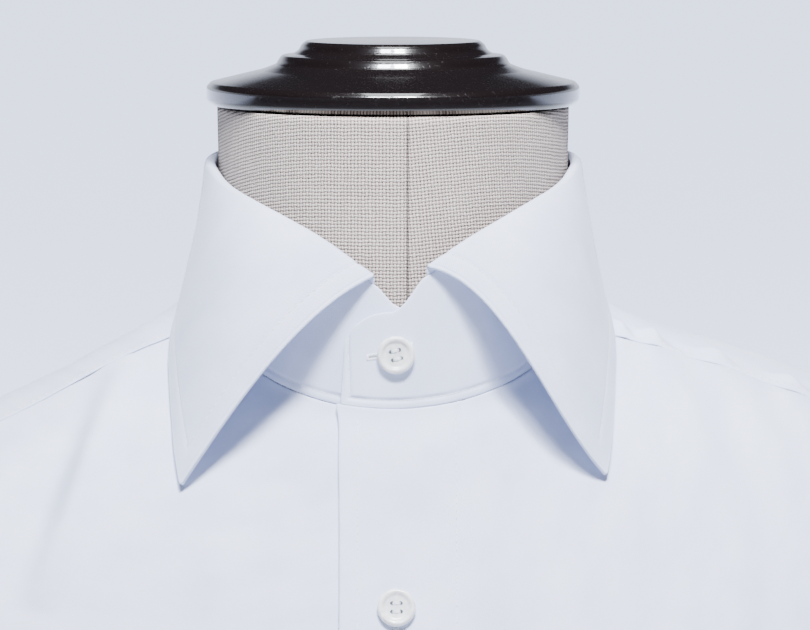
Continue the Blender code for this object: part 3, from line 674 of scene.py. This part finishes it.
def near_path(points, path):
    """The least distance from each point of a grid to a path drawn as a row of points."""
    flat = points.reshape(-1, 3)
    nearest = np.full(len(flat), 9.0)
    for part_of in np.array_split(path, max(1, len(path) // 60)):
        gap = np.linalg.norm(flat[:, None] - part_of[None], axis=-1).min(1)
        nearest = np.minimum(nearest, gap)
    return nearest.reshape(points.shape[:-1])


half_width = smooth(0, FORM_RINGS, "half_width") + NECKLINE_LIFT
first, last = np.arcsin(np.array([OVER_EDGE_X + 0.0008, UNDER_EDGE_X - 0.0008]) / half_width) + (0, 2 * np.pi)
psi = np.concatenate([np.linspace(first, first + 0.5, 71)[:-1], np.linspace(first + 0.5, last - 0.5, 170),
                      np.linspace(last - 0.5, last, 71)[1:]])
down = np.concatenate([np.linspace(0, 0.84, 22), np.linspace(0.85, 0.985, 16)])[:, None]
points = stand_face(psi[None, :], down)
tall = run(points, 0)
above_seam = tall[-1:] - tall
from_over_end = run(points, 1)
STAND_STITCH_IN, STAND_GROOVE = 0.0019, 0.00042
from_ends = np.minimum(from_over_end, from_over_end[:, -1:] - from_over_end)
nearest_edge = np.minimum(above_seam, from_ends)
pressed = np.exp(-((nearest_edge - STAND_STITCH_IN) / 0.0006) ** 2)
puckered = 1 + 0.5 * np.sin(from_over_end / 0.0031) * np.sin(from_over_end / 0.0047 + 1)
points = points - normals(points) * (STAND_GROOVE * pressed * puckered - crumple(points, 0.00018, 21))[..., None]
stand = cloth("collar_stand_band", points, STAND_CLOTH, plies=2)
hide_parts("collar_stand")
stitches("collar_stand_stitches", line_at(points[::-1], nearest_edge[::-1], STAND_STITCH_IN),
         line_at(points.swapaxes(0, 1), nearest_edge.T, STAND_STITCH_IN),
         line_at(points.swapaxes(0, 1)[::-1], nearest_edge.T[::-1], STAND_STITCH_IN))


# The collar leaf: two plies of the cotton with a fused interlining, bagged out, pressed flat and topstitched
# 5.5 mm inside its edge. It is sewn into the stand's top, rolls over it and falls to its two points.
LEAF_CLOTH = 0.0012
LEAF_EDGE = table(
    "along psi_degrees t off",
    (0.000, 40.3, 0.411, 0.0026), (0.027, 42.1, 0.394, 0.0025), (0.077, 46.1, 0.355, 0.0024),
    (0.135, 51.0, 0.310, 0.0023), (0.198, 57.5, 0.261, 0.0022), (0.265, 65.0, 0.213, 0.0022),
    (0.326, 72.0, 0.170, 0.0021), (0.360, 76.6, 0.139, 0.0020), (0.430, 87.0, 0.076, 0.0019),
    (0.530, 104.0, 0.052, 0.0019), (0.750, 145.0, 0.045, 0.0022), (1.000, 180.0, 0.043, 0.0024))
POINT_SHIFT_PSI, POINT_SHIFT_T, POINT_SHIFT_GONE = np.radians(0.65), -0.0066, 0.36
LEAF_BULGE, LEAF_HOLLOW, LEAF_FRONT_FADE = 0.0005, 0.0013, 0.30
LEAF_FRONT_EDGE = dict(left=((0.0316, -0.0722, 0.0147), (0.0454, -0.0785, -0.0236)),
                       right=((-0.0269, -0.0750, 0.0066), (-0.0457, -0.0760, -0.0211)))
TOPSTITCH_IN, PLY_IN, PLY_GROOVE = 0.0055, 0.0006, 0.00012

first = np.arcsin(LEAF_START_X["left"] / CREST["half_width"])
last = 2 * np.pi + np.arcsin(LEAF_START_X["right"] / CREST["half_width"])
ends = np.concatenate([np.arange(7) * 0.0005, np.linspace(0.0042, 0.036, 25)])
share = np.concatenate([ends, np.linspace(0.036, 0.964, 191)[1:-1], 1 - ends[::-1]])
psi = first + (last - first) * share
along = 1 - np.abs(2 * share - 1)
side = np.where(share < 0.5, 1, -1)
plan, out = crest_ring(psi, 0, psi < np.pi / 2)
out3 = np.concatenate([out, np.zeros_like(out[:, :1])], -1)
crest = np.concatenate([plan, crest_height(psi)[:, None]], -1)
near_point = 1 - ease(along, 0, POINT_SHIFT_GONE)
edge_psi = side * (np.radians(smooth(along, LEAF_EDGE, "psi_degrees")) + side * POINT_SHIFT_PSI * near_point)
edge_t = smooth(along, LEAF_EDGE, "t") + side * POINT_SHIFT_T * near_point
edge = over(edge_psi, edge_t, panel_lift(edge_psi, edge_t) + smooth(along, LEAF_EDGE, "off"))


def on_roll(turn):
    """The roll over the stand's top: an arc about a point ROLL_RADIUS under the crest; turn 90 degrees is its top."""
    turn = np.asarray(turn)[..., None]
    return crest + ROLL_RADIUS * (out3 * np.cos(turn) + (np.sin(turn) - 1) * np.array([0, 0, 1.0]))


def fall_from(top, fall):
    """The fall from the roll to the edge: straight ribs, bowed out a little, eased to a curved front edge."""
    points = top + (edge - top) * fall
    hollow = LEAF_HOLLOW * ease(along, 0.10, 0.34) * (1 - ease(along, 0.55, 0.95))
    bow = LEAF_BULGE * ease(along, 0, 0.25) - hollow
    points = points + out3 * bow[:, None] * 4 * fall * (1 - fall)
    for name, end, near in (("left", 0, share), ("right", -1, 1 - share)):
        one, two = (np.array(p) + (0, 0, NECK_POINT) for p in LEAF_FRONT_EDGE[name])
        f = fall if fall.shape[1] == 1 else fall[:, end:end + 1] if end == 0 else fall[:, -1:]
        curve = ((1 - f) ** 3 * top[end] + 3 * f * (1 - f) ** 2 * one
                 + 3 * f ** 2 * (1 - f) * two + f ** 3 * edge[end])
        straight = top[end] + (edge[end] - top[end]) * f
        points = points + (curve - straight) * (1 - ease(near, 0, LEAF_FRONT_FADE))[:, None]
    return points


top = on_roll(np.full_like(psi, np.radians(45)))
begins = fall_from(top, np.array([0.0, 0.02])[:, None, None])
heading = begins[1] - begins[0]
outward = (heading * out3).sum(-1)
turn_end = np.arctan2(np.maximum(outward, 1e-4), np.maximum(-heading[:, 2], 1e-4))
turn_end = np.clip(turn_end, np.radians(12), np.radians(60))
turns = np.pi + (turn_end - np.pi) * np.linspace(0, 1, 15)[:, None]
top = on_roll(turn_end)
fall = np.concatenate([np.linspace(0, 0.80, 34), np.linspace(0.80, 1.0, 34)[1:]])[1:, None, None]
lip = on_roll(np.full_like(psi, np.pi)) - (0, 0, LIP)
points = np.concatenate([lip[None], on_roll(turns), fall_from(top, fall)])
leaf_edge_path = np.concatenate([points[15:, 0], points[-1], points[15:, -1][::-1]])
steps = np.linspace(0, 1, 6)[None, :, None]
leaf_edge_path = (leaf_edge_path[:-1, None] * (1 - steps) + leaf_edge_path[1:, None] * steps).reshape(-1, 3)
inside = near_path(points, leaf_edge_path)
groove = 0.00020 * np.exp(-((inside - TOPSTITCH_IN) / 0.00055) ** 2)
groove = groove + PLY_GROOVE * np.exp(-((inside - PLY_IN) / 0.00022) ** 2)
puffed = 0.00006 * (1 - ease(inside, 0.003, 0.005))
points = points + normals(points) * (puffed - groove + crumple(points, 0.00012, 31))[..., None]
leaf = cloth("collar_leaf_sheet", points, LEAF_CLOTH, plies=2)
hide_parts("collar_leaf")
visible = points[14:]
stitches("collar_leaf_topstitch", line_at(visible[::-1], inside[14:][::-1], TOPSTITCH_IN),
         line_at(visible.swapaxes(0, 1), inside[14:].T, TOPSTITCH_IN),
         line_at(visible.swapaxes(0, 1)[::-1], inside[14:].T[::-1], TOPSTITCH_IN))


# The buttons: cast imitation shell with a dished middle, a rounded rim and four holes, sewn on with two bars of
# thread through worked buttonholes, a level one in the stand and upright ones in the front band.
BUTTON_PROFILE = ((0.0, 0.0016), (0.0034, 0.0016), (0.0042, 0.0023), (0.0049, 0.0023), (0.0055, 0.0014),
                  (0.0050, 0.0003), (0.0, 0.0003))
STAND_BUTTON_Z, FRONT_BUTTON_Z = -0.0075, (-0.075, -0.145, -0.215)
HOLE_RADIUS, HOLE_FROM_MIDDLE, HOLE_SIDES = 0.0006, 0.0012, 12
SEW_RADIUS = 0.00019
STAND_SLIT, FRONT_SLIT = (-0.0082, 0.0044), (-0.0052, 0.0076)
BAR, BAR_PITCH, BAR_RADIUS, SLIT_HALF = 0.0011, 0.00038, 0.00015, 0.00008

shell, tree, shader = finish_of("white_cast_shell_button")
shader.inputs["Roughness"].default_value = 0.22
shader.inputs["Coat Weight"].default_value = 0.5
shader.inputs["Coat Roughness"].default_value = 0.12
shader.inputs["Subsurface Weight"].default_value = 0.15
shader.inputs["Subsurface Scale"].default_value = 0.002
cast = node(tree, "TexCoord").outputs["Object"]
clouds = node(tree, "TexNoise", {"Scale": 260.0, "Detail": 3.0, "Distortion": 1.5}, Vector=cast).outputs[0]
ramp = node(tree, "ValToRGB", (), Fac=clouds)
ramp.color_ramp.elements[0].position, ramp.color_ramp.elements[0].color = 0.35, colour("DCDDE0")
ramp.color_ramp.elements[1].position, ramp.color_ramp.elements[1].color = 0.65, colour("F5F4F2")
tree.links.new(shader.inputs["Base Color"], ramp.outputs[0])
# A grey cloth for the buttonhole slits: painted shade in their openings.
slit_shade_finish, tree, shader = finish_of("shaded_cotton_slit")
shader.inputs["Base Color"].default_value = colour("8B8D97")
shader.inputs["Roughness"].default_value = 0.95


def button_shape():
    """A button's points and faces, looking up +Z: a turned body with four holes cut through it."""
    bodies = []
    for profile, at, turns in ((rounded(BUTTON_PROFILE, 0.0004), (0, 0), 56), *[
            (np.array([(0, 0.004), (HOLE_RADIUS, 0.004), (HOLE_RADIUS, -0.002), (0, -0.002)]), (x, y), HOLE_SIDES)
            for x in (-HOLE_FROM_MIDDLE, HOLE_FROM_MIDDLE) for y in (-HOLE_FROM_MIDDLE, HOLE_FROM_MIDDLE)]):
        grid = lathe(profile, turns) + (*at, 0)
        mesh = bpy.data.meshes.new("turned")
        mesh.from_pydata(grid.reshape(-1, 3).tolist(), [], quads(np.arange(grid[..., 0].size).reshape(
            grid.shape[:2])).tolist())
        made = bpy.data.objects.new("turned", mesh)
        bpy.context.scene.collection.objects.link(made)
        merge(made)
        bodies.append(made)
    for cutter in bodies[1:]:
        cut = bodies[0].modifiers.new("hole", "BOOLEAN")
        cut.operation, cut.object, cut.solver = "DIFFERENCE", cutter, "EXACT"
    shape = bodies[0].evaluated_get(bpy.context.evaluated_depsgraph_get()).to_mesh()
    points = np.array([v.co[:] for v in shape.vertices])
    faces = [list(face.vertices) for face in shape.polygons]
    for made in bodies:
        bpy.data.objects.remove(made)
    return points, faces


def place_on(face, at, offsets, step=0.002):
    """Points of a face at offsets across and down, in metres, from a place on it, with their normals and axes."""
    a, b = at
    across, down = face(a + step, b) - face(a - step, b), face(a, b + step) - face(a, b - step)
    a = a + offsets[:, 0] * 2 * step / np.linalg.norm(across)
    b = b + offsets[:, 1] * 2 * step / np.linalg.norm(down)
    across, down = unit(face(a + step, b) - face(a - step, b)), unit(face(a, b + step) - face(a, b - step))
    up = unit(np.cross(down, across))
    return face(a, b), up, across, np.cross(across, up)


def fasten(name, face, at, slit, level):
    """A button with its thread, and the worked buttonhole under it, at a place on a face."""
    middle, up, across, down = (v[0] for v in place_on(face, at, np.zeros((1, 2))))
    axes = np.stack([across, -down, up])
    points, faces = button_shape()
    mesh = bpy.data.meshes.new(name)
    mesh.from_pydata((middle + points @ axes).tolist(), [], faces)
    mesh.materials.append(shell)
    mesh.shade_smooth()
    mesh.set_sharp_from_angle(angle=np.radians(38))
    made = bpy.data.objects.new(name + "_disc", mesh)
    bpy.context.scene.collection.objects.link(made)
    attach(made, "root")
    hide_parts(name)
    k = HOLE_FROM_MIDDLE
    shift = np.linspace(-0.00026, 0.00026, 3)
    starts = np.array([(-k, side * k + s, 0.00155) for side in (-1, 1) for s in shift])
    ends = starts * (-1, 1, 1)
    threads_of(name + "_thread", middle + starts @ axes, middle + ends @ axes, np.tile(up, (6, 1)), SEW_RADIUS, 0.9, 1.2)
    way = (0, 1) if level else (1, 0)
    places = np.arange(slit[0], slit[1], BAR_PITCH)
    offsets = np.stack([places, 0 * places], -1)[:, ::1 if level else -1]
    rows = []
    for side in (-1, 1):
        near, far = (place_on(face, at, offsets + side * reach * np.array(way)) for reach in (SLIT_HALF, BAR))
        rows.append((near[0], far[0], near[1]))
    for end in (slit[0] - 0.0001, slit[1] + 0.0001):
        step_out = np.sign(end) * np.linspace(-0.0001, 0.0003, 3)
        ends_at = np.stack([end + step_out, 0 * step_out], -1)[:, ::1 if level else -1]
        one, two = (place_on(face, at, ends_at + side * BAR * np.array(way)) for side in (-1, 1))
        rows.append((one[0], two[0], one[1]))
    starts, ends, ups = (np.concatenate(part) for part in zip(*rows))
    threads_of(name + "_buttonhole", starts, ends, ups, BAR_RADIUS, 0.9, 1.0)
    # A grey strip laid just over the cloth along the slit: painted shade in the buttonhole's opening.
    strip = [place_on(face, at, offsets + side * 0.00022 * np.array(way)) for side in (-1, 1)]
    strip = np.stack([part[0] + part[1] * 0.00004 for part in strip])
    strip = strip if level else strip[::-1]
    slit_faces = quads(np.arange(strip[..., 0].size).reshape(strip.shape[:2]))
    piece(name + "_slit", strip, slit_faces, np.zeros((*slit_faces.shape, 2)), slit_shade_finish)


def band_face(psi, t):
    """The over front's face by the band, for numbers or rows of psi and t."""
    return front_face(np.asarray(psi, float), np.asarray(t, float), 1, LEFT_FRONT_FOLDS)


psi = CENTRE_X / CREST["front"]
down = np.linspace(0, 1, 200)
height = stand_face(np.full_like(down, psi), down)[:, 2] - NECK_POINT
fasten("button_stand", lambda a, b: stand_face(np.atleast_1d(a), np.atleast_1d(b)),
       (psi, np.interp(-STAND_BUTTON_Z, -height, down)), STAND_SLIT, True)
t = FRONT_ROWS
psi = np.arcsin(CENTRE_X / smooth(t, FORM_RINGS, "half_width"))
height = band_face(psi, t)[:, 2] - NECK_POINT
for count, z in enumerate(FRONT_BUTTON_Z, 1):
    at = np.interp(-z, -height, t)
    fasten(f"button_front_{count}", lambda a, b: band_face(np.atleast_1d(a), np.atleast_1d(b)),
           (np.interp(at, t, psi), at), FRONT_SLIT, False)


# The stage: a plain pale floor that glows behind the form as a lit backdrop does, a room that is pale at the
# horizon behind it and dim elsewhere, and three soft lamps: one high on each side at the front and one overhead.
FLOOR_GLOW, SKY_FRONT, SKY_BEHIND = 3.2, 0.20, 1.6
floor_finish, tree, shader = finish_of("plain_pale_floor")
shader.inputs["Base Color"].default_value = colour("D3D8E2")
shader.inputs["Roughness"].default_value = 1.0
shader.inputs["Specular IOR Level"].default_value = 0.0
shader.inputs["Emission Color"].default_value = colour("CAD4F4")
away = node(tree, "SeparateXYZ", (), Vector=node(tree, "TexCoord").outputs["Object"]).outputs[1]
glow = node(tree, "MapRange", {"From Min": 0.3, "From Max": 1.5, "To Min": 0.0, "To Max": FLOOR_GLOW}, Value=away)
tree.links.new(shader.inputs["Emission Strength"], glow.outputs[0])
bpy.ops.mesh.primitive_circle_add(vertices=64, radius=40, fill_type="NGON", location=(0, 0, 0))
floor = bpy.context.object
floor.name = "floor"
floor.data.materials.append(floor_finish)

world = bpy.data.worlds.new("pale_studio")
bpy.context.scene.world = world
world.use_nodes = True
sky = world.node_tree
heading = node(sky, "SeparateXYZ", (), Vector=node(sky, "TexCoord").outputs["Generated"]).outputs
up = heading[2]
sky_ramp = node(sky, "ValToRGB", (), Fac=up)
sky_ramp.color_ramp.elements[0].position, sky_ramp.color_ramp.elements[0].color = 0.16, colour("D8DEF0")
sky_ramp.color_ramp.elements[1].position, sky_ramp.color_ramp.elements[1].color = 0.34, colour("1B1C20")
sky.links.new(sky.nodes["Background"].inputs["Color"], sky_ramp.outputs[0])
behind = node(sky, "MapRange", {"From Min": -0.1, "From Max": 0.6, "To Min": SKY_FRONT, "To Max": SKY_BEHIND},
              Value=heading[1])
sky.links.new(sky.nodes["Background"].inputs["Strength"], behind.outputs[0])


LAMP_POWER = 44.0


def lamp(name, azimuth, elevation, distance, size, power, tint):
    """A square soft lamp that looks at the collar from azimuth and elevation in degrees; azimuth 0 is the front."""
    a, e = np.radians((azimuth, elevation))
    back = Vector((np.sin(a) * np.cos(e), -np.cos(a) * np.cos(e), np.sin(e)))
    light = bpy.data.lights.new(name, "AREA")
    light.size, light.energy, light.color = size, power, tint
    made = bpy.data.objects.new(name, light)
    made.location = Vector((0, 0, NECK_POINT)) + back * distance
    made.rotation_mode = "QUATERNION"
    made.rotation_quaternion = back.to_track_quat("Z", "Y")
    bpy.context.scene.collection.objects.link(made)


lamp("lamp_right", 11, 59, 1.6, 0.26, LAMP_POWER * 1.68, (0.93, 0.955, 1.0))
lamp("lamp_left", -12, 58, 1.6, 0.26, LAMP_POWER * 0.85, (0.87, 0.92, 1.0))
lamp("lamp_above", 0, 86, 1.5, 0.5, LAMP_POWER * 0.2, (0.94, 0.97, 1.0))

camera = bpy.data.objects.new("camera", bpy.data.cameras.new("camera"))
camera.data.lens, camera.data.sensor_width = 147.56, 36.0
camera.data.clip_start, camera.data.clip_end = 0.05, 200.0
camera.location = (0.00128, -1.00195, NECK_POINT + 0.12545)
camera.rotation_mode = "XYZ"
camera.rotation_euler = (np.radians(90 - 7.40), 0, np.radians(-0.133))
bpy.context.scene.collection.objects.link(camera)
bpy.context.scene.camera = camera
